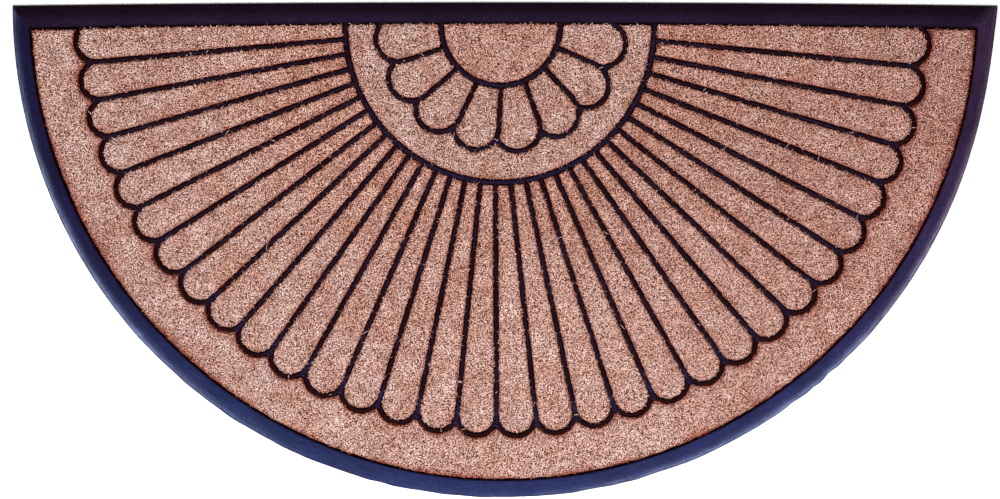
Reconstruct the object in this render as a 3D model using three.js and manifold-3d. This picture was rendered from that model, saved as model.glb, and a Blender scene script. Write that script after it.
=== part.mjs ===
// Half-round coir doormat, 1.22 m wide. One rubber moulding carries it: a backing sheet with a
// sloped rim and raised ribs that divide the mat into a fan of petals, a rosette and a half disc.
// Each pocket between the ribs holds its own panel of coir pile. Millimetres, +Z up. The mat lies
// flat on Z = 0 with its straight edge towards +Y.

import * as THREE from 'three';
import { mergeVertices } from 'three/addons/utils/BufferGeometryUtils.js';
import Module from 'manifold-3d';

const wasm = await Module();
wasm.setup();

// The plan is drawn round the centre of the curved edge. Angles are in degrees and run clockwise
// from +X, so that 90 points to the middle of the curve.
const matRadius = 610;
const curveSway = { depth: 1, period: 80, crest: 48 }; // slow in-and-out of the curved edge
const cornerFlare = { depth: 6.5, span: 5 }; // the right-hand corner reaches out a little
const recess = { centre: new THREE.Vector2(1, 1.7), radius: 588.9 }; // the wall round the coir
const straightHeight = 6.5; // the straight edge at its middle, past the curve's centre
const straightRim = 26;
const straightBow = { outer: 4, inner: 7 }; // how far its ends fall back, outside and inside

// The rim, from its outer edge (across 0) to the wall of the coir recess (across 1).
const rimProfile = [
  { across: 0, z: 0 },
  { across: 0, z: 2.5 },
  { across: 0.38, z: 7.4 },
  { across: 0.92, z: 9.8 },
  { across: 1, z: 9.5 },
];

// Heights: the floor of the pockets, and the coir from just above it to the tips of its pile.
const floorTop = 3;
const seam = 0.3; // between the coir and the rubber round it
const coirTop = 12;
const rollBack = 0.8; // the pile leans back at the edge of a panel
const rollDrop = 1.6;

// Widths of the raised ribs.
const ribWidth = 6;
const ringWidth = 7;

// The fan: 32 petals between lines from the foot ring to the scallops. A line's end stands at
// start + pitch * line, and the sway spreads the lines a little unevenly over the half circle.
const petalCount = 32;
const fanRing = { centre: new THREE.Vector2(-3.4, -25.2), radius: 191.9 };
const tipRadius = 532;
const scallopRadius = 518.6; // where the lines end, between two scallops
const fanFoot = { start: -1.45, pitch: 5.712 };
const fanTip = { start: 2.54, pitch: 5.474 };
const fanSway = [
  { wave: 1, foot: 2.04, tip: 0.96 },
  { wave: 2, foot: 0.57, tip: -0.23 },
  { wave: 3, foot: 0.39, tip: 0.25 },
];
const underRim = 4; // the first and the last line lie this far outside, hidden by the rim

// The rosette: 8 petals that overlap like scales, round the half disc.
const rosetteCount = 8;
const rosette = {
  centre: new THREE.Vector2(-2.1, -23.4),
  pitch: 23.1,
  tipRadius: 156.7,
  capRadius: 28.5,
  apexBehind: 19.2, // a petal's sides meet this far behind the centre
  firstLean: 1.8, // the first petal leans towards the rim, which hides its upper side
};
const discRing = { centre: new THREE.Vector2(-2.5, -23), radius: 73.9 };

// Fineness of the outlines.
const curveSteps = 72;
const straightSteps = 10;
const capSteps = 10;
const rosetteCapSteps = 14;
const fanRingSteps = 96;
const discSteps = 56;
const cornerTries = 8; // rounds in which a corner's angle settles

const rubber = { color: 0x1c1b33, roughness: 0.55, metalness: 0 };
const coir = { color: 0xb18a7c, roughness: 0.95, metalness: 0 };

const sine = (angle) => Math.sin(THREE.MathUtils.degToRad(angle));
const direction = (angle) => new THREE.Vector2(sine(90 - angle), -sine(angle));
const place = (centre, radius, angle) => direction(angle).multiplyScalar(radius).add(centre);
const middle = new THREE.Vector2(0, 0);

// The radius of the curved edge at an angle.
function curveRadius(angle, across, grow) {
  const sway = curveSway.depth * sine(90 + (360 * (angle - curveSway.crest)) / curveSway.period);
  const flare = cornerFlare.depth * Math.exp(-Math.max(angle, 0) / cornerFlare.span);
  const wall = recess.radius + recess.centre.dot(direction(angle));
  return THREE.MathUtils.lerp(matRadius + sway + flare, wall, across) + grow;
}

// The height of the straight edge in plan at a distance along it.
function straightLine(x, across, grow) {
  const bow = THREE.MathUtils.lerp(straightBow.outer, straightBow.inner, across);
  return straightHeight - across * straightRim - bow * (x / matRadius) ** 2 + grow;
}

// The angle at which the curved edge meets the straight one, on the right or on the left.
function cornerAngle(side, across, grow) {
  let angle = side === 'right' ? 0 : 180;
  for (let round = 0; round < cornerTries; round++) {
    const radius = curveRadius(angle, across, grow);
    const rise = straightLine(radius * direction(angle).x, across, grow) / radius;
    const lift = THREE.MathUtils.radToDeg(Math.asin(rise));
    angle = side === 'right' ? -lift : 180 + lift;
  }
  return angle;
}

// The half-round outline, stepped in from the outer edge by `across` and out again by `grow`.
function halfRound(across, grow) {
  const first = cornerAngle('right', across, grow);
  const last = cornerAngle('left', across, grow);
  const points = [];
  for (let step = 0; step <= curveSteps; step++) {
    const angle = THREE.MathUtils.lerp(first, last, step / curveSteps);
    points.push(place(middle, curveRadius(angle, across, grow), angle));
  }
  const [right, left] = [points[0].x, points[curveSteps].x];
  for (let step = 1; step < straightSteps; step++) {
    const x = THREE.MathUtils.lerp(left, right, step / straightSteps);
    points.push(new THREE.Vector2(x, straightLine(x, across, grow)));
  }
  return points;
}

// The outline of the coir field, and how far it has grown from its resting edge.
const fieldOutline = (grow) => halfRound(1, grow - seam);

function circleOutline(centre, radius, steps) {
  const points = [];
  for (let step = 0; step < steps; step++) {
    points.push(place(centre, radius, (360 * step) / steps));
  }
  return points;
}

// How far a line from `start` in a direction runs before it leaves a circle.
function runToCircle(start, heading, centre, radius) {
  const offset = start.clone().sub(centre);
  const along = offset.dot(heading);
  return -along + Math.sqrt(along ** 2 - offset.lengthSq() + radius ** 2);
}

// A petal in plan: a wedge that opens from its apex, a round cap that both its sides run into,
// and a foot cut off by the ring that it stands on. The wedge is measured on the middle lines of
// the ribs, and the coir's resting edge lies half a rib and a seam inside them.
function petalOutline({ apex, axis, spread, reach, ring, steps }, grow) {
  const inset = ribWidth / 2 + seam - grow;
  const capDistance = reach / (1 + sine(spread));
  const capRadius = capDistance * sine(spread) - inset;
  const cap = place(apex, capDistance, axis);
  const corner = place(apex, inset / sine(spread), axis);
  const footRadius = ring.radius + ringWidth / 2 + seam - grow;
  const foot = (side) => {
    const heading = direction(axis + side * spread);
    const run = runToCircle(corner, heading, ring.centre, footRadius);
    return corner.clone().addScaledVector(heading, run);
  };
  const points = [foot(-1)];
  for (let step = 0; step <= steps; step++) {
    const turn = THREE.MathUtils.lerp(-90 - spread, 90 + spread, step / steps);
    points.push(place(cap, capRadius, axis + turn));
  }
  points.push(foot(1));
  return points;
}

// One of the fan's lines, from its foot on the ring towards the scallops.
function fanLine(line) {
  const outward = Number(line === petalCount) - Number(line === 0);
  const spreadOut = (radius) => outward * THREE.MathUtils.radToDeg(underRim / radius);
  const swayed = (end) =>
    fanSway.reduce((sum, row) => sum + row[end] * sine((180 * row.wave * line) / petalCount), 0);
  const footAngle = fanFoot.start + fanFoot.pitch * line + swayed('foot') + spreadOut(fanRing.radius);
  const tipAngle = fanTip.start + fanTip.pitch * line + swayed('tip') + spreadOut(scallopRadius);
  const foot = place(fanRing.centre, fanRing.radius, footAngle);
  const run = place(middle, scallopRadius, tipAngle).sub(foot);
  return { foot, heading: THREE.MathUtils.radToDeg(Math.atan2(-run.y, run.x)) };
}

// The petal between two neighbouring lines of the fan. Its apex is where the two lines cross.
function fanPetal(index) {
  const [one, two] = [fanLine(index), fanLine(index + 1)];
  const [along, other] = [direction(one.heading), direction(two.heading)];
  const gap = two.foot.clone().sub(one.foot);
  const apex = one.foot.clone().addScaledVector(along, gap.cross(other) / along.cross(other));
  const axis = (one.heading + two.heading) / 2;
  return {
    apex,
    axis,
    spread: (two.heading - one.heading) / 2,
    reach: runToCircle(apex, direction(axis), middle, tipRadius),
    ring: fanRing,
    steps: capSteps,
  };
}

function rosettePetal(index) {
  const axis = rosette.pitch * (index + 0.5) - (index === 0 ? rosette.firstLean : 0);
  const reach = rosette.tipRadius + rosette.apexBehind;
  return {
    apex: place(rosette.centre, -rosette.apexBehind, axis),
    axis,
    spread: THREE.MathUtils.radToDeg(Math.asin(rosette.capRadius / (reach - rosette.capRadius))),
    reach,
    ring: discRing,
    steps: rosetteCapSteps,
  };
}

// A closed solid from a geometry whose shared points are merged.
function solid(geometry) {
  geometry.deleteAttribute('normal');
  geometry.deleteAttribute('uv');
  const merged = mergeVertices(geometry);
  return new wasm.Manifold(
    new wasm.Mesh({
      numProp: 3,
      vertProperties: new Float32Array(merged.attributes.position.array),
      triVerts: new Uint32Array(merged.index.array),
    }),
  );
}

// A solid through a stack of level outlines that have the same number of points each.
function loft(outlineAt, levels) {
  const outlines = levels.map((level) => outlineAt(level).reverse());
  const count = outlines[0].length;
  const positions = outlines.flatMap((points, row) => points.flatMap((p) => [p.x, p.y, levels[row].z]));
  const indices = [];
  for (let row = 0; row < levels.length - 1; row++) {
    for (let point = 0; point < count; point++) {
      const [a, b] = [row * count + point, row * count + ((point + 1) % count)];
      indices.push(a, b, b + count, a, b + count, a + count);
    }
  }
  const topRow = (levels.length - 1) * count;
  for (const [a, b, c] of THREE.ShapeUtils.triangulateShape(outlines[0], [])) {
    indices.push(c, b, a);
  }
  for (const [a, b, c] of THREE.ShapeUtils.triangulateShape(outlines.at(-1), [])) {
    indices.push(topRow + a, topRow + b, topRow + c);
  }
  const geometry = new THREE.BufferGeometry();
  geometry.setAttribute('position', new THREE.Float32BufferAttribute(positions, 3));
  geometry.setIndex(indices);
  return solid(geometry);
}

// An upright prism, for the pockets.
function prism(outline) {
  const depth = 2 * coirTop;
  const geometry = new THREE.ExtrudeGeometry(new THREE.Shape(outline), { depth, bevelEnabled: false });
  geometry.translate(0, 0, floorTop);
  return solid(geometry);
}

// Edges of the coir. A panel rolls back at its top, a clip does the same and passes beyond the
// panel, and a cut opens by the same amount, so that what it leaves has a rolled edge too.
const between = ribWidth + 2 * seam; // from one panel's resting edge to its neighbour's
const panelLevels = [
  { z: floorTop + seam, grow: 0 },
  { z: coirTop - rollDrop, grow: 0 },
  { z: coirTop, grow: -rollBack },
];
const clipLevels = [
  { z: 0, grow: 0 },
  { z: coirTop - rollDrop, grow: 0 },
  { z: coirTop + rollDrop, grow: -2 * rollBack },
];
const cutLevels = [
  { z: 0, grow: between },
  { z: coirTop - rollDrop, grow: between },
  { z: coirTop + rollDrop, grow: between + 2 * rollBack },
];

const fanPetals = Array.from({ length: petalCount }, (_, index) => fanPetal(index));
const rosettePetals = Array.from({ length: rosetteCount }, (_, index) => rosettePetal(index));
const join = (solids) => solids.reduce((sum, next) => sum.add(next));

// The outline of a disc on a ring, inside the ring or round its outside.
const insideRing = ({ centre, radius }, steps) => (grow) =>
  circleOutline(centre, radius - ringWidth / 2 - seam + grow, steps);

// Every coir region, made once as rolled-edge panels and once as the pockets that hold them.
// `whole` builds a region's full outline, `clip` keeps what lies on the field, and `cut` takes
// away a neighbour with the rib round it.
function coirRegions({ whole, clip, cut }) {
  const petal = (row) => (grow) => petalOutline(row, grow);
  const fanDisc = insideRing(fanRing, fanRingSteps);
  const halfDisc = insideRing(discRing, discSteps);
  const regions = new Map();

  const band = whole(fieldOutline);
  const fan = join(fanPetals.map((row) => cut(petal(row))));
  regions.set('coir_band', band.subtract(fan).subtract(cut(fanDisc)));

  fanPetals.forEach((row, index) => {
    const name = `fan_petal_${String(index + 1).padStart(2, '0')}`;
    regions.set(name, whole(petal(row)).intersect(clip(fieldOutline)));
  });

  const scales = rosettePetals.map((row) => cut(petal(row)));
  const discAndRing = cut((grow) => halfDisc(grow + ringWidth - ribWidth));
  const ringField = whole(fanDisc).intersect(clip(fieldOutline));
  regions.set('coir_ring', ringField.subtract(join(scales)).subtract(discAndRing));

  rosettePetals.forEach((row, index) => {
    const full = whole(petal(row)).intersect(clip(fieldOutline));
    const overlapped = index + 1 < rosetteCount ? full.subtract(scales[index + 1]) : full;
    regions.set(`rosette_petal_${index + 1}`, overlapped);
  });

  regions.set('half_disc', whole(halfDisc).intersect(clip(fieldOutline)));
  return regions;
}

const panels = coirRegions({
  whole: (outlineAt) => loft(({ grow }) => outlineAt(grow), panelLevels),
  clip: (outlineAt) => loft(({ grow }) => outlineAt(grow), clipLevels),
  cut: (outlineAt) => loft(({ grow }) => outlineAt(grow), cutLevels),
});

const pockets = coirRegions({
  whole: (outlineAt) => prism(outlineAt(seam)),
  clip: (outlineAt) => prism(outlineAt(seam)),
  cut: (outlineAt) => prism(outlineAt(between - seam)),
});

// The rubber moulding: the full half round with its sloped rim, less all the pockets.
function rubberTray() {
  const moulding = loft(({ across }) => halfRound(across, 0), rimProfile);
  return moulding.subtract(join([...pockets.values()]));
}

const mat = new THREE.Group();

function addPiece(name, body, finish) {
  const { vertProperties, triVerts } = body.getMesh();
  const geometry = new THREE.BufferGeometry();
  geometry.setAttribute('position', new THREE.BufferAttribute(vertProperties, 3));
  geometry.setIndex(new THREE.BufferAttribute(triVerts, 1));
  geometry.computeVertexNormals();
  const mesh = new THREE.Mesh(geometry, new THREE.MeshStandardMaterial(finish));
  mesh.name = name;
  mat.add(mesh);
}

addPiece('rubber_tray', rubberTray(), rubber);
panels.forEach((body, name) => addPiece(name, body, coir));

// The part's origin is on the floor under the middle of its bounding box.
const box = new THREE.Box3().setFromObject(mat);
const centre = box.getCenter(new THREE.Vector3());
mat.position.set(-centre.x, -centre.y, 0);

export default mat;
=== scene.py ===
import bpy
import numpy as np
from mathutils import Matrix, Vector


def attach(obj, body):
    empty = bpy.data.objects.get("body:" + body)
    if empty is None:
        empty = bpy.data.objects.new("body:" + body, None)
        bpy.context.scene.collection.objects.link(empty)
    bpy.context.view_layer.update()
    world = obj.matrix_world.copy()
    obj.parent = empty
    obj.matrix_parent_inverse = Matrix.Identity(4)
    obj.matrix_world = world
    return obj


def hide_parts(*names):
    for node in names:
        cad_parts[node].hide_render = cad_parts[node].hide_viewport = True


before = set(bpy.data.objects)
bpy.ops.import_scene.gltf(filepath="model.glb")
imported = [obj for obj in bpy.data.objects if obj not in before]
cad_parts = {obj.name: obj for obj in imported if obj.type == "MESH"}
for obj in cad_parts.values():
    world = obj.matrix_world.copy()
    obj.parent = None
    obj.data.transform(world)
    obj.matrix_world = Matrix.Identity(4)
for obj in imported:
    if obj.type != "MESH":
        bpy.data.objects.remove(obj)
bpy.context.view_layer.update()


# The view. The photograph looks straight down on the mat, with its straight edge away, from far
# enough off that the rim shows no perspective. Metres on the floor set the lens.
camera_height = 12.0
view_width = 1.2436
view_centre = (-0.0064, 0.0006)
sensor_width = 36.0

lens = bpy.data.cameras.new("photo_camera")
lens.sensor_width = sensor_width
lens.lens = sensor_width * camera_height / view_width
camera = bpy.data.objects.new("photo_camera", lens)
camera.location = (*view_centre, camera_height)
bpy.context.scene.collection.objects.link(camera)
bpy.context.scene.camera = camera


# The rubber moulding. One sheet of black rubber backs the whole mat, and rises to a sloped rim
# on the curve and on the straight side. It was trimmed by hand, so its outer edge sways a little,
# and a short stretch low on the right is ragged.
mat_radius = 0.610
curve_sway = {"depth": 0.001, "period": 80, "crest": 48}
corner_flare = {"depth": 0.0065, "span": 5}
recess = {"centre": (0.001, 0.0017), "radius": 0.5889}
straight_middle = 0.0065
straight_rim = 0.026
straight_bow = {"outer": 0.004, "inner": 0.007}
floor_top = 0.003
rim_profile = np.array([
    # across the rim, height
    (0.25, 0.0),
    (0.0, 0.0),
    (0.0, 0.0025),
    (0.38, 0.0074),
    (0.92, 0.0098),
    (1.0, 0.0095),
    (1.0, floor_top),
    (1.3, floor_top),
])
ragged_trim = [
    # angle in degrees, depth in metres, half length in degrees
    {"angle": 45.4, "depth": 0.0008, "span": 0.7},
    {"angle": 48.2, "depth": 0.0016, "span": 0.8},
    {"angle": 50.6, "depth": 0.0012, "span": 0.5},
    {"angle": 53.9, "depth": 0.0016, "span": 1.1},
    {"angle": 57.4, "depth": 0.0010, "span": 0.9},
]
trim_waver = {"depth": 0.0006, "knots": 120, "clear": 0.14, "seed": 11}
rim_columns = {"curve": 480, "straight": 90}
rim_rounds = 2
corner_tries = 8
corner_cut = 0.25
backing_middle = (0.0, -0.25)
rim_strip = (1.0, 0.5)
backing_map = {"scale": 0.38, "under": (0.25, 0.75), "over": (0.75, 0.75)}


def direction(angle):
    """Unit vectors in plan, at angles in degrees that run clockwise from +X."""
    turn = np.radians(angle)
    return np.stack([np.cos(turn), -np.sin(turn)], axis=-1)


def curve_radius(angle, across):
    """The curved edge's radius: a circle with a slow cosine sway, a flare at the right corner and
    Gaussian nicks where the trim is ragged, drawn over to the recess's own circle at across 1."""
    cycle = 360 * (angle - curve_sway["crest"]) / curve_sway["period"]
    sway = curve_sway["depth"] * np.cos(np.radians(cycle))
    flare = corner_flare["depth"] * np.exp(-np.maximum(angle, 0) / corner_flare["span"])
    nicks = sum(
        nick["depth"] * np.exp(-(((angle - nick["angle"]) / nick["span"]) ** 2))
        for nick in ragged_trim
    )
    outer = mat_radius + sway + flare - nicks
    wall = recess["radius"] + direction(angle) @ np.array(recess["centre"])
    return outer * (1 - across) + wall * across


def straight_height(x, across):
    """The straight edge's height in plan: level, less a bow that grows with the square of x."""
    bow = straight_bow["outer"] * (1 - across) + straight_bow["inner"] * across
    return straight_middle - across * straight_rim - bow * (x / mat_radius) ** 2


def end_angles(radius_at, height_at):
    """The right and the left angle at which an edge with a radius at each angle meets one with a
    height at each x, found by trying again and again."""
    angles = [0.0, 180.0]
    for _ in range(corner_tries):
        radii = [radius_at(angle) for angle in angles]
        right, left = [
            np.degrees(np.arcsin(height_at(radius * np.cos(np.radians(angle))) / radius))
            for angle, radius in zip(angles, radii)
        ]
        angles = [-right, 180 + left]
    return angles


def half_round(across):
    """Outlines of the mat, one row for each step in from the edge: along the curve from the right
    corner to the left, evenly in angle, then back along the straight side, evenly in x."""
    across = np.asarray(across, float)[:, None]
    first, last = end_angles(
        lambda angle: curve_radius(angle, across), lambda x: straight_height(x, across)
    )
    angle = first + (last - first) * np.linspace(0, 1, rim_columns["curve"] + 1)
    curve = curve_radius(angle, across)[..., None] * direction(angle)
    left, right = curve[:, -1:, 0], curve[:, :1, 0]
    x = left + (right - left) * np.linspace(0, 1, rim_columns["straight"] + 1)[1:-1]
    straight = np.stack([x, straight_height(x, across)], axis=-1)
    return np.concatenate([curve, straight], axis=1)


def rounded(profile, rounds):
    """A profile whose corners are cut at a quarter of both their sides, round after round. Its two
    ends stay."""
    for _ in range(rounds):
        step = corner_cut * (profile[1:] - profile[:-1])
        cut = np.stack([profile[:-1] + step, profile[1:] - step], axis=1).reshape(-1, 2)
        profile = np.concatenate([profile[:1], cut, profile[-1:]])
    return profile


def wrapped_quads(rows, columns):
    """Quads of a grid whose columns close on themselves, with each corner's place on the grid.
    Faces look outwards where the rows' step times the columns' step does."""
    row, column = np.mgrid[0 : rows - 1, 0:columns]
    row, column = row.ravel()[:, None], column.ravel()[:, None]
    step_row, step_column = np.array([0, 1, 1, 0]), np.array([0, 0, 1, 1])
    corners = (row + step_row) * columns + (column + step_column) % columns
    places = np.stack([(column + step_column) / columns, (row + step_row) / (rows - 1)], axis=-1)
    return corners, places


def raised(plan, level):
    """Points in plan with the height that each has above the floor."""
    return np.concatenate([plan, np.broadcast_to(level, plan.shape[:-1])[..., None]], axis=-1)


def point_traits(*traits):
    """The three traits of each point side by side, where a trait may be one number for them all."""
    return np.stack(np.broadcast_arrays(*traits), axis=-1).reshape(-1, 3)


edge_outline = half_round([0.0])[0]
plan_origin = -(edge_outline.min(axis=0) + edge_outline.max(axis=0)) / 2


def add_mesh(name, points, faces, places, traits, material, slot, node=None, smooth=True):
    """A piece of the mat, with its points given from the middle of the rim's circle. `faces` is a
    list of arrays, each of faces with the same number of corners, and `places` holds the corners'
    places on the baked texture in the same order. The material reads the traits as a colour. The
    piece replaces the CAD node, where one is given."""
    mesh = bpy.data.meshes.new(name)
    corners = np.concatenate([face.ravel() for face in faces])
    sizes = np.concatenate([np.full(len(face), face.shape[1]) for face in faces])
    flat = np.concatenate([place.reshape(-1, 2) for place in places])
    in_frame = points + np.array([*plan_origin, 0.0])
    opaque = np.concatenate([traits, np.ones((len(traits), 1))], axis=1)
    mesh.vertices.add(len(points))
    mesh.vertices.foreach_set("co", in_frame.astype(np.float32).ravel())
    mesh.loops.add(len(corners))
    mesh.loops.foreach_set("vertex_index", corners.astype(np.int32))
    mesh.polygons.add(len(sizes))
    mesh.polygons.foreach_set("loop_start", (np.cumsum(sizes) - sizes).astype(np.int32))
    mesh.polygons.foreach_set("use_smooth", np.broadcast_to(smooth, len(sizes)).astype(bool))
    layer = mesh.uv_layers.new(name="OFBake")
    layer.data.foreach_set("uv", flat.astype(np.float32).ravel())
    colour = mesh.attributes.new("traits", "FLOAT_COLOR", "POINT")
    colour.data.foreach_set("color", opaque.astype(np.float32).ravel())
    mesh.update(calc_edges=True)
    mesh.validate()
    mesh.materials.append(material)
    piece = bpy.data.objects.new(name, mesh)
    bpy.context.scene.collection.objects.link(piece)
    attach(piece, "root")
    if node:
        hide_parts(node)
    return piece


def unit(vectors):
    """Vectors brought to a length of 1."""
    return vectors / np.maximum(np.linalg.norm(vectors, axis=-1, keepdims=True), 1e-9)


def hand_trimmed(plan, across):
    """The outlines with the small waver of a hand trim: random steps in and out at even places on
    the curve, joined by straight lines, that die away across the rim and towards the corners."""
    share = np.linspace(0, 1, rim_columns["curve"] + 1)
    steps = np.random.default_rng(trim_waver["seed"]).uniform(-1, 1, trim_waver["knots"])
    waver = trim_waver["depth"] * np.interp(share, np.linspace(0, 1, len(steps)), steps)
    waver *= np.clip(np.sin(np.pi * share) / np.sin(np.pi * trim_waver["clear"]) - 1, 0, 1)
    curve = plan[:, : len(share)]
    curve += np.clip(1 - across, 0, 1)[:, None, None] ** 2 * waver[:, None] * unit(curve)
    return plan


def rim_and_backing(material):
    """The moulding's skin: the rounded profile carried round the outline, closed underneath and
    on the floor of the pockets by a fan of faces round one middle point each. Its traits are the
    way across the rim, 1 on the straight side, and the share of the way round the curve."""
    across, height = rounded(rim_profile, rim_rounds).T
    plan = hand_trimmed(half_round(across), across)
    rows, columns = plan.shape[:2]
    skin = raised(plan, height[:, None]).reshape(-1, 3)
    poles = [(*backing_middle, height[row]) for row in (0, -1)]
    quads, places = wrapped_quads(rows, columns)
    column = np.arange(columns)
    following = (column + 1) % columns
    pole = np.full(columns, len(skin))
    last_row = (rows - 1) * columns
    under = np.stack([pole, column, following], axis=-1)
    over = np.stack([last_row + column, pole + 1, last_row + following], axis=-1)
    # The two fans lie on the texture as they do in plan, below the strip of the rim.
    spread = (skin[:, :2] + plan_origin) * backing_map["scale"]
    fans = np.concatenate([spread, [spread.mean(axis=0)] * 2])
    straight_side = (column >= rim_columns["curve"]).astype(float)
    around = np.interp(column, (0, rim_columns["curve"], columns), (0, 1, 0))
    traits = point_traits(across[:, None], straight_side, around)
    made = add_mesh(
        "rubber_moulding",
        np.concatenate([skin, poles]),
        [quads, under, over],
        [places * rim_strip, fans[under] + backing_map["under"], fans[over] + backing_map["over"]],
        np.concatenate([traits, [(across[0], 0, 0), (across[-1], 0, 0)]]),
        material,
        "rubber",
        "rubber_tray",
    )
    # The mitres, where the curved and the straight rim meet, stay crisp.
    ends = np.empty(2 * len(made.data.edges), np.int32)
    made.data.edges.foreach_get("vertices", ends)
    ends = ends.reshape(-1, 2)
    first, second = np.where(ends < len(skin), ends % columns, -1).T
    crisp = made.data.attributes.new("sharp_edge", "BOOLEAN", "EDGE")
    crisp.data.foreach_set("value", (first == second) & np.isin(first, (0, rim_columns["curve"])))
    return made


def nodes_of(name):
    """A new material, its node tree and its Principled BSDF."""
    material = bpy.data.materials.new(name)
    material.use_nodes = True
    return material, material.node_tree, material.node_tree.nodes["Principled BSDF"]


def wired(tree, kind, inputs, output=0, **settings):
    """The output of a new shader node with these settings. Each input, by its name or number, is
    given a value or wired to another node's output."""
    node = tree.nodes.new("ShaderNode" + kind)
    for key, value in settings.items():
        setattr(node, key, value)
    for key, value in inputs.items():
        if isinstance(value, bpy.types.NodeSocket):
            tree.links.new(value, node.inputs[key])
        else:
            node.inputs[key].default_value = value
    return node.outputs[output]


def math(tree, operation, *inputs, clamp=False):
    """The sum, product or the like of numbers, held to 0 to 1 if it is clamped."""
    return wired(tree, "Math", dict(enumerate(inputs)), operation=operation, use_clamp=clamp)


def ramp(tree, value, stops):
    """The colour at a value on a row of (place, colour) stops, where one number means a grey."""
    found = wired(tree, "ValToRGB", {0: value})
    elements = found.node.color_ramp.elements
    while len(elements) < len(stops):
        elements.new(0.5)
    for element, (place, colour) in zip(elements, stops):
        element.position = place
        element.color = (*np.broadcast_to(colour, 3), 1)
    return found


def shaded(tree, colour, *shades):
    """The colour times each of some shades."""
    for shade in shades:
        colour = wired(tree, "VectorMath", {0: colour, "Scale": shade}, operation="SCALE")
    return colour


def times(tree, first, second):
    """The product of two colours."""
    return wired(tree, "VectorMath", {0: first, 1: second}, operation="MULTIPLY")


def blended(tree, factor, first, second, way="MIX"):
    """A colour that goes from the first to the second with the factor, or to their product."""
    first, second = [
        (*colour, 1) if isinstance(colour, tuple) else colour for colour in (first, second)
    ]
    inputs = {"Factor": factor, "A": first, "B": second}
    return wired(tree, "Mix", inputs, "Result", data_type="RGBA", blend_type=way)


def point_numbers(tree):
    """The outputs of the three traits that the mesh holds for each point."""
    colour = wired(tree, "Attribute", {}, "Color", attribute_name="traits")
    return wired(tree, "SeparateColor", {0: colour}).node.outputs[:3]


def mottle_group():
    """A group that puts out a soft, uneven shade round 1, for patches lighter and darker than the
    rest, from noise on the object's own coordinates."""
    group = bpy.data.node_groups.new("mottle", "ShaderNodeTree")
    for name, way in (("Scale", "INPUT"), ("Amount", "INPUT"), ("Shade", "OUTPUT")):
        group.interface.new_socket(name, in_out=way, socket_type="NodeSocketFloat")
    given = group.nodes.new("NodeGroupInput").outputs
    place = wired(group, "TexCoord", {}, "Object")
    grain = {"Vector": place, "Scale": given["Scale"], "Detail": 3.0, "Roughness": 0.55}
    uneven = math(group, "SUBTRACT", wired(group, "TexNoise", grain), 0.5)
    shade = math(group, "MULTIPLY_ADD", uneven, given["Amount"], 1.0)
    group.links.new(shade, group.nodes.new("NodeGroupOutput").inputs["Shade"])
    return group


mottle = mottle_group()


def mottled(tree, scale, amount):
    """The mottle's shade, at a scale and an amount."""
    return wired(tree, "Group", {"Scale": scale, "Amount": amount}, node_tree=mottle)


def add_bump(tree, shader, height, strength, distance):
    """A bump of the surface by a height."""
    inputs = {"Height": height, "Strength": strength, "Distance": distance}
    tree.links.new(wired(tree, "Bump", inputs), shader.inputs["Normal"])


def add_rubber_finish(tree, shader, colour):
    """The rubber's colour, gloss that is duller in patches, and a fine grain."""
    tree.links.new(colour, shader.inputs["Base Color"])
    worn = mottled(tree, scale=40.0, amount=0.5)
    dull = {"Value": worn, "From Min": 0.75, "From Max": 1.25, "To Min": 0.4, "To Max": 0.6}
    tree.links.new(wired(tree, "MapRange", dull), shader.inputs["Roughness"])
    place = wired(tree, "TexCoord", {}, "Object")
    grain = wired(tree, "TexNoise", {"Vector": place, "Scale": 700.0, "Detail": 4.0})
    add_bump(tree, shader, grain, strength=0.3, distance=0.0004)
    shader.inputs["Specular IOR Level"].default_value = 0.03


# The curved rim's painted reflections, casts of tinted light on the black rubber, from the right corner
# round to
# the left: plum, navy, indigo.
curve_reflection_casts = [
    # share of the way round, colour
    (0.04, (0.021, 0.009, 0.028)),
    (0.27, (0.0108, 0.0115, 0.048)),
    (0.50, (0.0098, 0.0145, 0.055)),
    (0.72, (0.0076, 0.0112, 0.045)),
    (0.88, (0.0067, 0.0052, 0.026)),
]
# The straight rim's painted reflection, a plum cast, with painted shade on its outer half, which slopes
# away from the lamps.
straight_reflection_casts = [
    # way across the rim, colour
    (0.35, (0.0072, 0.0014, 0.0066)),
    (0.80, (0.0118, 0.0062, 0.0205)),
]
# How pale the painted highlight makes the outer lip, by share of the way round, and how far in from the
# edge.
lip_highlight_round = [
    (0.02, 0.1), (0.11, 0.5), (0.2, 1.0), (0.31, 0.85), (0.4, 0.55), (0.48, 0.14),
    (0.62, 0.03), (0.70, 0.4), (0.80, 1.0), (0.88, 0.95), (0.99, 0.3),
]
lip_highlight_across = [(0.02, 0.0), (0.06, 1.0), (0.14, 0.8), (0.25, 0.28), (0.38, 0.07), (0.5, 0.0)]
lip_highlight_casts = [(0.12, (0.15, 0.10, 0.145)), (0.27, (0.092, 0.110, 0.195))]
# Painted shade: dark at the outer edge and in the groove by the coir.
groove_shade_casts = [
    # way across the rim, what its colour is multiplied by
    (0.0, (0.25, 0.25, 0.3)),
    (0.05, (1.0, 1.0, 1.0)),
    (0.66, (1.0, 1.0, 1.0)),
    (0.87, (1.0, 0.90, 0.90)),
    (0.94, (0.60, 0.34, 0.38)),
    (0.98, (0.16, 0.05, 0.06)),
]
streak_grain = (21.0, 1.0, 60.0)


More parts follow.
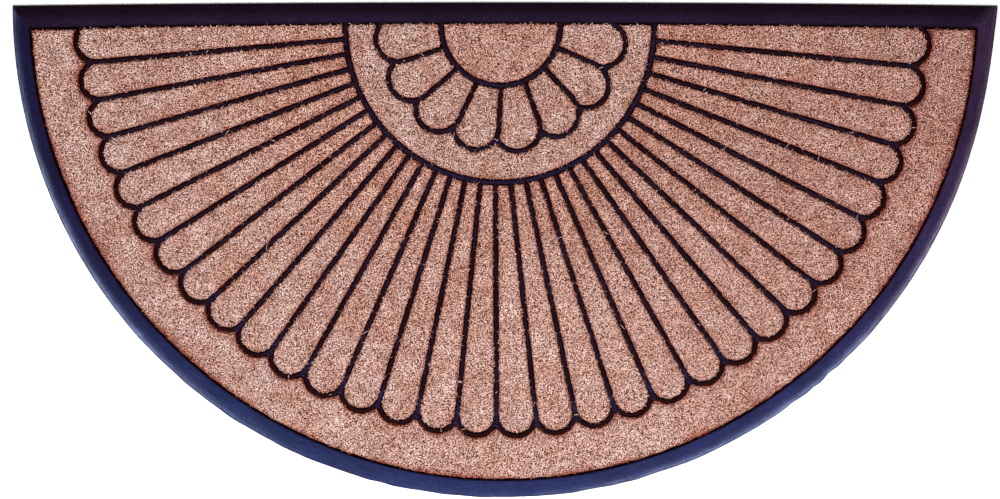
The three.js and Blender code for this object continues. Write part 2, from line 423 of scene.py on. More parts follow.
def rim_rubber():
    """The rim's black rubber with painted reflections: casts from plum through navy to indigo round the
    curve, and a plum cast with painted shade on the outer half of the straight side. A painted
    highlight lies in streaks on the outer lip, and painted shade at the outer edge and in the groove by
    the coir."""
    material, tree, shader = nodes_of("rim_rubber")
    across, straight_side, around = point_numbers(tree)
    along = wired(tree, "Attribute", {}, "Vector", attribute_name="traits")
    along = wired(tree, "VectorMath", {0: along, 1: streak_grain}, operation="MULTIPLY")
    noise = {"Vector": along, "Scale": 1.0, "Detail": 3.0, "Roughness": 0.6}
    streak = {"From Min": 0.3, "From Max": 0.7, "To Min": 0.6, "To Max": 1.4}
    streaks = wired(tree, "MapRange", {"Value": wired(tree, "TexNoise", noise), **streak})
    # The painted highlight on the outer lip, broken by the streaks and patches.
    lip_highlight = ramp(tree, around, lip_highlight_round)
    patches = mottled(tree, scale=45.0, amount=1.2)
    for share in (ramp(tree, across, lip_highlight_across), streaks, patches):
        lip_highlight = math(tree, "MULTIPLY", lip_highlight, share, clamp=True)
    curve = blended(tree, lip_highlight, ramp(tree, around, curve_reflection_casts), ramp(tree, around, lip_highlight_casts))
    colour = blended(tree, straight_side, curve, ramp(tree, across, straight_reflection_casts))
    broad, fine = mottled(tree, scale=16.0, amount=0.9), mottled(tree, scale=260.0, amount=1.2)
    colour = shaded(tree, colour, streaks, broad, fine)
    add_rubber_finish(tree, shader, times(tree, colour, ramp(tree, across, groove_shade_casts)))
    return material


moulding = rim_and_backing(rim_rubber())


# The fan's ribs. They are beads of the same rubber, moulded with the backing: 31 straight ones
# from the half-ring at the fan's foot, and a scallop round the tip of each of the 32 petals.
rib_width = 0.006
ring_width = 0.007
bead_shoulder = 0.0073
bead_top = 0.0095
bead_sunk = 0.0005
petal_count = 32
fan_ring = {"centre": np.array([-0.0034, -0.0252]), "radius": 0.1919}
tip_radius = 0.532
scallop_radius = 0.5186
fan_foot = {"start": -1.45, "pitch": 5.712}
fan_tip = {"start": 2.54, "pitch": 5.474}
fan_sway = [
    {"wave": 1, "foot": 2.04, "tip": 0.96},
    {"wave": 2, "foot": 0.57, "tip": -0.23},
    {"wave": 3, "foot": 0.39, "tip": 0.25},
]
under_rim = 0.004
rib_wander = {"depth": 0.00035, "grain": 0.013, "seed": 3}
rib_swell = {"share": 0.11, "grain": 0.013, "seed": 4}
# How much painted bluish sheen the crowns have: how closely it keeps to the outer ends of the lines and
# to the ends of the scallops, how much lies on the two rings, and how much of it fades towards the left
# and right.
crown_sheen = {"line": 45, "scallop": 5, "foot_ring": 0.35, "disc_ring": 0.25, "fade": 0.8}
scallop_fade = 3
noise_cells = 97
bead_steps = 9
line_steps = 60
cap_steps = 26
ring_steps = 220
ring_sweep = (-30, 210)
stretch_tries = 400
texture_lane = (1.0, 0.9)


def place_at(centre, radius, angle):
    """Points at radii from a centre, at angles."""
    return centre + np.asarray(radius)[..., None] * direction(angle)


def distance(points, spot):
    """How far points lie from a spot."""
    return np.linalg.norm(points - spot, axis=-1)


def beyond(points, ring):
    """How far points lie outside a circle with a centre and a radius."""
    return distance(points, ring["centre"]) - ring["radius"]


def left_of(heading):
    """Headings turned a quarter to the left."""
    return np.stack([-heading[..., 1], heading[..., 0]], axis=-1)


def run_to_circle(start, heading, centre, radius):
    """How far a line runs from its start before it leaves a circle."""
    offset = start - centre
    along = (offset * heading).sum(axis=-1)
    return -along + np.sqrt(along**2 - (offset**2).sum(axis=-1) + radius**2)


def fan_lines():
    """Feet and headings of the 33 lines of the fan. A line's end stands at start + pitch * line,
    swayed by a few slow sine waves, and the outermost two are spread apart under the rim."""
    line = np.arange(petal_count + 1)
    outward = (line == petal_count).astype(float) - (line == 0)

    def end_angle(row, end, radius):
        turn = np.pi * line / petal_count
        waves = sum(sway[end] * np.sin(sway["wave"] * turn) for sway in fan_sway)
        return row["start"] + row["pitch"] * line + waves + outward * np.degrees(under_rim / radius)

    foot_angle = end_angle(fan_foot, "foot", fan_ring["radius"])
    tip_angle = end_angle(fan_tip, "tip", scallop_radius)
    foot = place_at(fan_ring["centre"], fan_ring["radius"], foot_angle)
    tip = place_at(np.zeros(2), scallop_radius, tip_angle)
    run = tip - foot
    return foot, np.degrees(np.arctan2(-run[:, 1], run[:, 0]))


def wedge(apex, axis, spread, reach, ring):
    """A petal on the middle lines of its ribs: a wedge from its apex, with a round cap that both
    its sides run into, so that the cap's radius is reach * sin / (1 + sin) of the half angle."""
    sine, cosine = np.sin(np.radians(spread)), np.cos(np.radians(spread))
    cap_distance = reach / (1 + sine)
    return {
        "apex": apex,
        "axis": axis,
        "spread": spread,
        "sine": sine,
        "cosine": cosine,
        "side_length": cap_distance * cosine,
        "cap": apex + cap_distance * direction(axis),
        "cap_distance": cap_distance,
        "cap_radius": cap_distance * sine,
        "ring": ring,
    }


def fan_wedges():
    """The petal between each two neighbouring lines, with its apex where the lines cross."""
    foot, heading = fan_lines()
    along, other = direction(heading[:-1]), direction(heading[1:])
    gap = foot[1:] - foot[:-1]
    crossed = along[:, 0] * other[:, 1] - along[:, 1] * other[:, 0]
    share = (gap[:, 0] * other[:, 1] - gap[:, 1] * other[:, 0]) / crossed
    apex = foot[:-1] + share[:, None] * along
    axis = (heading[:-1] + heading[1:]) / 2
    spread = (heading[1:] - heading[:-1]) / 2
    reach = run_to_circle(apex, direction(axis), np.zeros(2), tip_radius)
    return [wedge(*row, fan_ring) for row in zip(apex, axis, spread, reach)]


def field_depth(points):
    """How deep points in plan lie inside the wall of the coir recess."""
    below = straight_height(points[..., 0], 1.0) - points[..., 1]
    return np.minimum(-beyond(points, recess), below)


def soft_noise(points, kind):
    """Noise from 0 to 1 over the plan, of a kind with its own grain and seed: random numbers on a
    square grid, a grain apart, blended smoothly between the grid's corners."""
    lattice = np.random.default_rng(kind["seed"]).random((noise_cells, noise_cells))
    place = points / kind["grain"]
    cell = np.floor(place).astype(int)
    share = place - cell
    share = share * share * (3 - 2 * share)
    x, y = cell[..., 0] % noise_cells, cell[..., 1] % noise_cells
    next_x, next_y = (x + 1) % noise_cells, (y + 1) % noise_cells
    near = lattice[x, y] + (lattice[next_x, y] - lattice[x, y]) * share[..., 0]
    far = lattice[x, next_y] + (lattice[next_x, next_y] - lattice[x, next_y]) * share[..., 0]
    return near + (far - near) * share[..., 1]


def towards_bottom(points):
    """1 on the line down the mat's middle, falling to a fifth towards its left and right, with the
    square of the sine."""
    return 1 - crown_sheen["fade"] * points[..., 0] ** 2 / (points**2).sum(axis=-1)


def closed_forms(points):
    """Points, faces and texture places of forms given by form, row and column: each a grid whose
    columns close on themselves, with a face on its first and on its last row."""
    count, rows, columns = points.shape[:3]
    quads, places = wrapped_quads(rows, columns)
    first = np.arange(count)[:, None] * rows * columns
    start = first + np.arange(columns)
    end = first + (rows - 1) * columns + np.arange(columns)[::-1]
    lane = np.stack([np.zeros(count), np.arange(count)], axis=-1)[:, None, None]
    strips = (places[..., ::-1] * texture_lane + lane) / (1.0, count)
    ends = np.zeros((2, count, columns, 2))
    every = (first[..., None] + quads).reshape(-1, 4)
    return points.reshape(-1, 3), [every, start, end], [strips, *ends]


def beads(name, paths, half_width, sheen, red=0.0):
    """Beads of rubber along several paths with the same number of points. A bead's section has
    upright sides and an elliptical top, and its foot is sunk into the backing. Noise makes it
    wander a little and swell and thin. Its traits are the height on the crown, which sets the
    painted shade on its sides, and how much painted bluish sheen and how much red the crown has."""
    paths = np.stack(paths)
    left = left_of(unit(np.gradient(paths, axis=1)))
    wander, swell = [2 * soft_noise(paths, kind) - 1 for kind in (rib_wander, rib_swell)]
    turn = np.linspace(-np.pi / 2, np.pi / 2, bead_steps)
    offset = np.concatenate([[-1.0], np.sin(turn), [1.0]]) * half_width
    level = bead_shoulder + (bead_top - bead_shoulder) * np.cos(turn)
    level = np.pad(level, 1, constant_values=floor_top - bead_sunk)
    aside = rib_wander["depth"] * wander[..., None]
    aside = aside + offset * (1 + rib_swell["share"] * swell[..., None])
    plan = paths[:, :, None] + aside[..., None] * left[:, :, None]
    crown = np.clip(level - bead_shoulder, 0, 1) / (bead_top - bead_shoulder)
    sheen = (sheen * towards_bottom(paths))[..., None]
    red = np.broadcast_to(red, paths.shape[1])[:, None]
    traits = point_traits(crown, sheen, red)
    add_mesh(name, *closed_forms(raised(plan, level)), traits, rubber, "rubber")


def rib_rubber():
    """The ribs' rubber: dark plum on their crowns, with navy patches and fine light and dark flecks,
    and redder on the scallops. Painted shade makes their sides and feet black, and a painted bluish
    sheen lies on the webs, the rings and where the ribs meet the webs."""
    material, tree, shader = nodes_of("rib_rubber")
    rise, sheen, red = point_numbers(tree)
    navy = math(tree, "SUBTRACT", mottled(tree, scale=22.0, amount=4.0), 0.6, clamp=True)
    crown = blended(tree, navy, (0.0080, 0.0013, 0.0038), (0.0112, 0.0042, 0.0125))
    crown = blended(tree, red, crown, (0.0090, 0.0006, 0.0014))
    # The painted bluish sheen.
    crown = blended(tree, sheen, crown, (0.0115, 0.0110, 0.042))
    crown = shaded(tree, crown, mottled(tree, scale=380.0, amount=3.2))
    # Painted shade: the bead's sides below its crown are near black.
    lit_crown = ramp(tree, rise, [(0.55, 0), (0.98, 1)])
    add_rubber_finish(tree, shader, blended(tree, lit_crown, (0.0030, 0.0004, 0.0010), crown))
    return material


rubber = rib_rubber()


def kept_stretch(path_at, first, last, keep, steps):
    """The stretch of a path on which `keep` holds, from the first such point to the last."""
    share = np.linspace(first, last, stretch_tries)
    held = share[keep(path_at(share))]
    return path_at(np.linspace(held[0], held[-1], steps))


def near_field(points):
    """Whether points lie in the coir recess or just under the rim."""
    return field_depth(points) > -under_rim


def cap_start(row, side):
    """Where a petal's straight side runs into its round cap: side -1 or 1."""
    return row["apex"] + row["side_length"] * direction(row["axis"] + side * row["spread"])


def scallop_path(row):
    """The part of a petal's round cap that lies on the field and just under the rim."""
    return kept_stretch(
        lambda turn: place_at(row["cap"], row["cap_radius"], row["axis"] + turn),
        -90 - row["spread"],
        90 + row["spread"],
        near_field,
        cap_steps,
    )


def ring_path(ring, steps):
    """The part of a ring that lies on the field and just under the rim."""
    return kept_stretch(
        lambda angle: place_at(ring["centre"], ring["radius"], angle), *ring_sweep, near_field, steps
    )


fan_petals = fan_wedges()
share = np.linspace(0, 1, line_steps)[:, None]
line_paths = []
for foot, heading, *beside in zip(*[row[1:-1] for row in fan_lines()], fan_petals, fan_petals[1:]):
    ends = [cap_start(petal, side) for petal, side in zip(beside, (1, -1))]
    length = max(distance(end, foot) for end in ends)
    line_paths.append(foot + share * length * direction(heading))
scallop_paths = [scallop_path(row) for row in fan_petals]
from_tip = np.abs(np.linspace(-1, 1, cap_steps))
line_sheen = np.linspace(0, 1, line_steps) ** crown_sheen["line"]
scallop_sheen, scallop_red = from_tip ** crown_sheen["scallop"], 1 - from_tip**scallop_fade
foot_path = ring_path(fan_ring, ring_steps)
beads("fan_ribs", line_paths, rib_width / 2, line_sheen)
beads("fan_scallops", scallop_paths, rib_width / 2, scallop_sheen, scallop_red)
beads("fan_foot_ring", [foot_path], ring_width / 2, crown_sheen["foot_ring"])


# The webs. Where two scallops meet, the rubber fills the sharp notch between them, level with
# the ribs and moulded in one with them.
web_radius = 0.0026
web_out = 0.0006
web_profile = np.array([
    # share of the radius, height
    (1.0, floor_top - bead_sunk),
    (1.0, 0.0080),
    (0.88, 0.0089),
    (0.55, 0.0094),
    (0.12, 0.0095),
])
web_sides = 16
web_crown = 6


def web_places(petals):
    """Where the outer edges of neighbouring caps cross, and a little further out."""
    spots = []
    for row, after in zip(petals[:-1], petals[1:]):
        first, second = row["cap_radius"] + rib_width / 2, after["cap_radius"] + rib_width / 2
        between = after["cap"] - row["cap"]
        apart = np.linalg.norm(between)
        along = (first**2 - second**2 + apart**2) / (2 * apart)
        across = -left_of(between) / apart
        across *= np.sign(across @ (row["cap"] - row["apex"]))
        aside = np.sqrt(first**2 - along**2)
        spots.append(row["cap"] + along * between / apart + (aside + web_out) * across)
    return np.array(spots)


def webs(name, spots):
    """Low round bosses: the profile turned round each spot. Their traits are those of the beads."""
    around = direction(360 * np.arange(web_sides) / web_sides)
    out, level = web_profile.T[:, :, None]
    plan = spots[:, None, None] + web_radius * out[..., None] * around
    sheen = np.broadcast_to(towards_bottom(spots)[:, None, None], plan.shape[:3])
    # The boss's rim gets the beads' painted shade, and its top their painted bluish sheen, most on the
    # mat's middle line.
    traits = point_traits(1 - out**web_crown, sheen, 0.0)
    add_mesh(name, *closed_forms(raised(plan, level)), traits, rubber, "rubber")


fan_web_places = web_places(fan_petals)
webs("fan_webs", fan_web_places)


# The rosette's ribs. Eight round-ended petals overlap one way round like scales, so each one's
# bead stops where the next petal covers it. A half-ring round the half disc carries their feet.
rosette_count = 8
rosette = {
    "centre": np.array([-0.0021, -0.0234]),
    "pitch": 23.1,
    "tip_radius": 0.1567,
    "cap_radius": 0.0285,
    "apex_behind": 0.0192,
    "first_lean": 1.8,
}
disc_ring = {"centre": np.array([-0.0025, -0.023]), "radius": 0.0739}
rosette_steps = 90
rosette_sunk = 0.002
rosette_lap = 0.001


def rosette_wedge(index):
    """The rosette's petal of an index, at an even pitch but for the first, which leans a little.
    Its spread follows from its cap's radius."""
    axis = rosette["pitch"] * (index + 0.5) - (rosette["first_lean"] if index == 0 else 0)
    reach = rosette["tip_radius"] + rosette["apex_behind"]
    spread = np.degrees(np.arcsin(rosette["cap_radius"] / (reach - rosette["cap_radius"])))
    apex = rosette["centre"] - rosette["apex_behind"] * direction(axis)
    return wedge(apex, axis, spread, reach, disc_ring)


def ridge_depth(points, row):
    """How deep points lie inside the middle line of a petal's ribs: their distance from its side
    lines behind the cap, and from the cap's circle beyond."""
    heading = direction(row["axis"])
    out = points - row["apex"]
    along = out @ heading
    aside = np.abs(out[..., 0] * heading[1] - out[..., 1] * heading[0])
    from_side = along * row["sine"] - aside * row["cosine"]
    from_cap = row["cap_radius"] - distance(points, row["cap"])
    behind = (along - row["cap_distance"]) * row["cosine"] + aside * row["sine"] < 0
    return np.where(behind, from_side, from_cap)


def petal_path(row, foot_radius):
    """Once round a petal: out along one side, round the cap and back, by its share of the way."""
    stub = row["side_length"] - foot_radius
    turn = np.radians(180 + 2 * row["spread"])
    length = 2 * stub + row["cap_radius"] * turn

    def at(share):
        done = share * length
        first, last = direction(row["axis"] - row["spread"]), direction(row["axis"] + row["spread"])
        go = row["apex"] + (foot_radius + done)[:, None] * first
        angle = row["axis"] - 90 - row["spread"] + np.degrees((done - stub) / row["cap_radius"])
        cap = place_at(row["cap"], row["cap_radius"], angle)
        back = row["apex"] + (foot_radius + length - done)[:, None] * last
        on_sides = [(done < stub)[:, None], (length - done < stub)[:, None]]
        return np.select(on_sides, [go, back], cap)

    return at


rosette_petals = [rosette_wedge(index) for index in range(rosette_count)]
rosette_foot = disc_ring["radius"] + rosette["apex_behind"] - rosette_sunk
rosette_paths = []
for row, after in zip(rosette_petals, rosette_petals[1:] + [None]):
    def shown(points, after=after):
        return near_field(points) & ((after is None) or (ridge_depth(points, after) < rosette_lap))

    rosette_paths.append(kept_stretch(petal_path(row, rosette_foot), 0, 1, shown, rosette_steps))
rosette_web_places = web_places(rosette_petals)
disc_path = ring_path(disc_ring, ring_steps // 2)
beads("rosette_ribs", rosette_paths, rib_width / 2, 0.0)
beads("half_disc_ring", [disc_path], ring_width / 2, crown_sheen["disc_ring"])
webs("rosette_webs", rosette_web_places)


# The coir panels. Each pocket holds its own pad of coir: coconut fibre, dyed through, cut short,
# stood on end and bonded to the floor. A pad rolls down at its edges, where its outermost fibres
# lean raggedly over the rubber, and elsewhere the tips lean every way.
seam = 0.0003
rib_edge = rib_width / 2 + seam
ring_edge = ring_width / 2 + seam
rim_gap = {"least": 0.0003, "most": 0.0018, "leftward": 0.0004, "grain": 0.005, "seed": 8}
pad_top = 0.0102
pad_edge = {"roll": 0.0014, "drop": 0.0034}
lumps = {"height": 0.0007, "grain": 0.011, "seed": 5}
pile_spacing = 0.00152
comb = {"turn": 720, "grain": 0.02, "seed": 6}
short_fibres = {
    "length": (0.0018, 0.0034),
    "width": (0.0009, 0.0014),
    "lean": (18, 62),
    "tint": (0.0, 1.0),
}
long_fibres = {
    "length": (0.0036, 0.0062),
    "width": (0.0007, 0.0010),
    "lean": (4, 18),
    "tint": (0.5, 1.2),
}
short_share = 0.82
fibre_stray = 70.0
edge_pull = {"strength": 1.6, "reach": 0.0016}
edge_bite = {"depth": 0.0010, "grain": 0.0024, "contrast": 2.1, "seed": 7}
overhang = {"least": -0.0008, "most": 0.0026, "stray": 0.0009, "limit": 0.0028, "calm": 0.0006}
calm_edges = {"tips": 0.7, "belt": 0.520, "spread": 0.018, "rosette": 0.5, "reach": 0.15}
rough_rim = {"share": 1.0, "reach": 0.004}
fibre_root = 0.8
least_cut = 0.1
edge_tries = 24
panel_across = 13
panel_inset = 0.0002
# The pads are tinted darker than the fibres' mean: painted shade in the gaps between the fibres.
pad_tint = 0.33
pad_shadow = 0.0014
# How far in the painted shade at a pad's edge reaches on the fibres, and how much of it their tips
# escape.
edge_shade_reach = 0.0014
tip_out_of_shade = 0.8
slope_step = 0.0003
pad_cells = (1.0, 0.24)
fibre_cells = (0.25, 1.0)
rng = np.random.default_rng(20)


def gap_by_rim(points):
    """How far the coir stops short of the rim: unevenly, further to the left, and least in the
    middle of the straight side."""
    leftward = np.clip(-points[..., 0] / mat_radius, 0, 1)
    outward = np.clip(np.linalg.norm(points, axis=-1) / mat_radius, 0, 1)
    noise = soft_noise(points, rim_gap)
    uneven = (rim_gap["most"] - rim_gap["least"]) * noise * outward
    return rim_gap["least"] + uneven + rim_gap["leftward"] * leftward**2


def coir_field(points):
    """How deep points lie inside the field that the coir fills."""
    return field_depth(points) - seam - gap_by_rim(points)


def petal_depth(points, row, after=None):
    """How deep points lie inside a petal's pad: the least of its distances from its own ribs, the
    ring at its foot, the field's edge and the next petal that covers it."""
    depth = np.minimum(ridge_depth(points, row) - rib_edge, beyond(points, row["ring"]) - ring_edge)
    if after is not None:
        depth = np.minimum(depth, -ridge_depth(points, after) - rib_edge)
    return np.minimum(depth, coir_field(points))


def pad_height(points, depth):
    """A pad's height: a quarter ellipse where it rolls down at its edge, then level but for lumps."""
    inward = np.clip(depth / pad_edge["roll"], 0, 1)
    roll = 1 - np.sqrt(1 - (1 - inward) ** 2)
    lump = lumps["height"] * (soft_noise(points, lumps) - 0.5)
    return pad_top - pad_edge["drop"] * roll + lump * inward


def last_point(point_at, near, far, depth_at):
    """The furthest point of each run that still lies inside a pad, by halving from near to far."""
    for _ in range(edge_tries):
        half = (near + far) / 2
        inside = depth_at(point_at(half)) > 0
        near, far = np.where(inside, half, near), np.where(inside, far, half)
    return point_at(near)


def edge_point(start, heading, reach, depth_at):
    """Where a line from each start leaves a pad, within a reach."""
    return last_point(lambda run: start + np.expand_dims(run, -1) * heading, 0.0, reach, depth_at)


def crowded(count):
    """Shares from 0 to 1 at (1 - cos) / 2, so that they crowd at both ends."""
    return (1 - np.cos(np.linspace(0, np.pi, count))) / 2


def pad(right, left, depth_at):
    """A pad's points, faces, texture places and depths: sections between its right and its left
    edge, level underneath, with points that crowd at the rolled edges."""
    top = right[:, None] + (left - right)[:, None] * crowded(panel_across)[:, None]
    depth = depth_at(top)
    plan = np.concatenate([right[:, None], top, left[:, None]], axis=1)
    level = np.pad(pad_height(top, depth), ((0, 0), (1, 1)), constant_values=floor_top + seam)
    return *closed_forms(raised(plan, level)[None]), np.pad(depth, ((0, 0), (1, 1))).ravel()


def spined_pad(middle, heading, share, reach, depth_at):
    """A pad in sections across a straight spine, which runs both ways from its middle to the
    pad's edge. The sections stand at shares of its length, but for an inset at its ends."""
    foot = edge_point(middle, -heading, reach, depth_at)
    tip = edge_point(middle, heading, reach, depth_at)
    inset = panel_inset / np.linalg.norm(tip - foot)
    spine = foot + np.clip(share, inset, 1 - inset)[:, None] * (tip - foot)
    left = left_of(heading)
    right_edge, left_edge = [edge_point(spine, side * left, reach, depth_at) for side in (-1, 1)]
    return pad(right_edge, left_edge, depth_at)


def scattered():
    """Where the fibres stand: one in each cell of a square grid over the recess, at a random place
    in its cell."""
    low, high = edge_outline.min(axis=0), edge_outline.max(axis=0)
    sides = [np.arange(low[axis], high[axis], pile_spacing) for axis in (0, 1)]
    cells = np.stack(np.meshgrid(*sides), axis=-1).reshape(-1, 2)
    spots = cells + rng.random(cells.shape) * pile_spacing
    return spots[field_depth(spots) - seam > 0]


def edge_share(depth, reach):
    """How near the edge points lie: 1 on it, and exp(-depth / reach) further in."""
    return np.exp(-np.maximum(depth, 0) / reach)


def bite(points):
    """How uneven the coir's edge is, from 0 where it runs full to 1 where it is bitten back."""
    noise = soft_noise(points, edge_bite)
    return np.clip(0.5 + edge_bite["contrast"] * (noise - 0.5), 0, 1)


def tip_belt(points):
    """How near points lie to the belt of the fan's tips: a Gaussian of their distance from it."""
    out = distance(points, 0.0)
    return np.exp(-(((out - calm_edges["belt"]) / calm_edges["spread"]) ** 2))


def raggedness(points):
    """How ragged a pad's edge is: 1, less on the belt of the fan's tips and in the rosette, and
    more beside the rim."""
    rosette_share = np.exp(-((distance(points, 0.0) / calm_edges["reach"]) ** 6))
    by_rim = rough_rim["share"] * edge_share(field_depth(points) - seam, rough_rim["reach"])
    calm = calm_edges["tips"] * tip_belt(points) + calm_edges["rosette"] * rosette_share
    return 1 + by_rim - calm


def rooted(depth_at):
    """The fibres that stand on a pad: all that lie inside its edge, where that is bitten back too."""
    near = all_roots[depth_at(all_roots) > 0]
    return near[depth_at(near) > edge_bite["depth"] * bite(near) * raggedness(near)]


def slope_outwards(points, depth, depth_at):
    """Unit vectors towards the nearest edge: against the slope of the depth, by differences."""
    slope = [depth_at(points + step) - depth for step in slope_step * np.eye(2)]
    return unit(-np.stack(slope, axis=-1))


def fibres(roots, depth_at):
    """Spikes of three sides and a root each, short or long. A fibre leans its own way, more and
    more outwards near the edge, and its reach over the edge is cut to a limit that falls where
    the edge is bitten back, strays a little from fibre to fibre, and is wider where it is calm.
    Given are points, faces, each fibre's tint, the way along it and its root's depth."""
    count = len(roots)
    is_long = rng.random(count) > short_share

    def drawn(key):
        long_range, short_range = [np.array(kind[key])[:, None] for kind in (long_fibres, short_fibres)]
        low, high = np.where(is_long, long_range, short_range)
        return low + (high - low) * rng.random(count)

    length, width, lean, tint = [drawn(key) for key in ("length", "width", "lean", "tint")]
    lean = np.radians(lean)
    angle = comb["turn"] * soft_noise(roots, comb) + rng.normal(0, fibre_stray, count)
    depth = depth_at(roots)
    pull = edge_pull["strength"] * np.exp(-depth / edge_pull["reach"])
    heading = unit(direction(angle) + pull[:, None] * slope_outwards(roots, depth, depth_at))
    flat = length * np.cos(lean)
    middle = (overhang["most"] + overhang["least"]) / 2
    sway = (overhang["most"] - overhang["least"]) * (0.5 - bite(roots))
    stray = rng.normal(0, overhang["stray"], count)
    ragged = raggedness(roots)
    over = middle + (1 - ragged) * overhang["calm"] + ragged * (sway + stray)
    over = np.minimum(over, overhang["limit"])
    tip_depth = depth_at(roots + heading * flat[:, None])
    cut = (depth + over) / np.maximum(depth - tip_depth, 1e-6)
    flat = flat * np.where(tip_depth < -over, np.clip(cut, least_cut, 1), 1)
    side = left_of(heading) * (width / 2)[:, None]
    level = pad_height(roots, depth)
    plan = np.stack([roots + side, roots - side, roots, roots + heading * flat[:, None]], axis=1)
    height = np.stack([level, level, level - width * fibre_root, level + length * np.sin(lean)], axis=1)
    points = raised(plan, height).reshape(-1, 3)
    spike = np.array([(1, 3, 0), (0, 3, 2), (1, 2, 3), (0, 2, 1)])
    faces = (np.arange(count)[:, None, None] * 4 + spike).reshape(-1, 3)
    along = np.tile([0.0, 0.0, 0.0, 1.0], count)
    return points, faces, np.repeat(tint, 4), along, np.repeat(depth, 4)


def fibre_places(count, low, high):
    """Each fibre's own cell on the texture, between two heights of it."""
    side = int(np.ceil(np.sqrt(count)))
    cell = np.stack([np.arange(count) % side, np.arange(count) // side], axis=-1)[:, None]
    spike = np.array([(0.1, 0.1), (0.9, 0.1), (0.5, 0.1), (0.5, 0.9)])
    corner = (cell + spike) / side
    corner[..., 1] = low + (high - low) * corner[..., 1]
    return corner.reshape(-1, 2)


specks = {"scale": 820.0, "gain": 7.5, "level": -3.6, "fibre": 0.7}
# Painted shade: each fibre darker towards its root, paler at its tip.
root_shade = {"To Min": 0.72, "To Max": 1.42}
coir_tints = [
    # tint, colour
    (0.04, (0.092, 0.012, 0.004)),
    (0.30, (0.275, 0.078, 0.039)),
    (0.50, (0.517, 0.261, 0.194)),
    (0.70, (0.67, 0.400, 0.325)),
    (0.96, (0.82, 0.620, 0.552)),
]
brown_patch, pale_patch = (0.82, 0.64, 0.55), (1.07, 1.16, 1.22)
# Painted shade, darker and browner towards the right, over this range of x.
right_side = {"From Min": 0.1, "From Max": 0.62}
# Tints the colour is multiplied by: painted shade on the right, browner towards the fan's foot, and
# painted rust-brown shade at a pad's edge.
right_shade, foot_stain, painted_edge_shade = (0.88, 0.73, 0.70), (0.95, 0.75, 0.65), (0.53, 0.10, 0.020)
# How brown the coir is, by distance from the middle of the fan's foot.
footward_brown = [
    (0.0, 0.52), (0.070, 0.52), (0.085, 0.12), (0.185, 0.12),
    (0.197, 0.65), (0.35, 0.22), (0.50, 0.03), (0.54, 0.0),
]


def coir_material():
    """Dyed coir: each fibre its own tint from dark red-brown to pale pink, finely specked, and browner
    in patches and towards the fan's foot, with a fine fibrous bump. Painted shade darkens each fibre
    towards its root, the right side, and a pad's edge, where it is rust-brown. The traits are the
    fibre's tint, the way along it, and how near the pad's edge it stands."""
    material, tree, shader = nodes_of("coir_pile")
    tint, along, near = point_numbers(tree)
    place = wired(tree, "TexCoord", {}, "Object")
    speck = wired(tree, "TexNoise", {"Vector": place, "Scale": specks["scale"], "Detail": 0.0})
    specked = math(tree, "MULTIPLY_ADD", speck, specks["gain"], specks["level"])
    colour = ramp(tree, math(tree, "MULTIPLY_ADD", tint, specks["fibre"], specked), coir_tints)
    colour = shaded(tree, colour, wired(tree, "MapRange", {"Value": along, **root_shade}))
    patches = math(tree, "SUBTRACT", mottled(tree, scale=48.0, amount=2.0), 0.5, clamp=True)
    colour = times(tree, colour, blended(tree, patches, brown_patch, pale_patch))
    colour = shaded(tree, colour, mottled(tree, scale=3.0, amount=0.25))
    across = wired(tree, "SeparateXYZ", {0: place})
    rightward = wired(tree, "MapRange", {"Value": across, **right_side})
    foot = (*(fan_ring["centre"] + plan_origin), pad_top)
    from_foot = wired(tree, "VectorMath", {0: place, 1: foot}, "Value", operation="DISTANCE")
    footward = ramp(tree, from_foot, footward_brown)
    for share, stain_and_shade in ((rightward, right_shade), (footward, foot_stain), (near, painted_edge_shade)):
        colour = blended(tree, share, colour, stain_and_shade, "MULTIPLY")
    tree.links.new(colour, shader.inputs["Base Color"])
    add_bump(tree, shader, speck, strength=0.5, distance=0.0006)
    shader.inputs["Roughness"].default_value = 0.85
    shader.inputs["Specular IOR Level"].default_value = 0.2
    return material


coir = coir_material()
all_roots = scattered()


def add_coir(name, node, solid, depth_at):
    """One pad with the fibres that stand on it, in place of its CAD node."""
    points, faces, places, depth = solid
    roots = rooted(depth_at)
    spikes, spike_faces, tint, along, spike_depth = fibres(roots, depth_at)
    # Painted rust-brown shade near the pad's edge, less on the fibres' tips and on the belt of the
    # fan's tips.
    near = edge_share(spike_depth, edge_shade_reach) * (1 - tip_out_of_shade * along)
    near *= 1 - tip_belt(spikes[:, :2])
    cells = fibre_places(len(roots), *fibre_cells)
    add_mesh(
        name,
        np.concatenate([points, spikes]),
        [*faces, spike_faces + len(points)],
        [places[0] * pad_cells, *places[1:], cells[spike_faces]],
        np.concatenate([
            point_traits(pad_tint, 0.0, edge_share(depth, pad_shadow)),
            point_traits(tint, along, near),
        ]),
        coir,
        "coir",
        node,
        smooth=np.repeat([True, False], [len(faces[0]) + 2, len(spike_faces)]),
    )


def add_petals(petals, covers, names, rows, reach):
    """The coir of a row of petals, each under the petal that covers it, if one does."""
    for index, (row, after) in enumerate(zip(petals, covers)):
        def depth_at(points, row=row, after=after):
            return petal_depth(points, row, after)

        middle, heading = row["cap"][None], direction(row["axis"])
        solid = spined_pad(middle, heading, crowded(rows), reach, depth_at)
        name, node = [text.format(index + 1) for text in names]
        add_coir(name, node, solid, depth_at)


fan_names = ("coir_petal_{:02d}", "fan_petal_{:02d}")
add_petals(fan_petals, [None] * petal_count, fan_names, rows=44, reach=0.4)


# The rosette's coir: eight petal pads, each tucked under the next like a scale, and the half disc
# in the middle of the straight side.
rosette_names = ("coir_rosette_{}", "rosette_petal_{}")
disc_rows = 48
disc_reach = 0.1
disc_spine = 0.005
disc_inset = 0.002


def disc_depth(points):
    """How deep points lie inside the half disc's pad."""
    return np.minimum(-beyond(points, disc_ring) - ring_edge, coir_field(points))


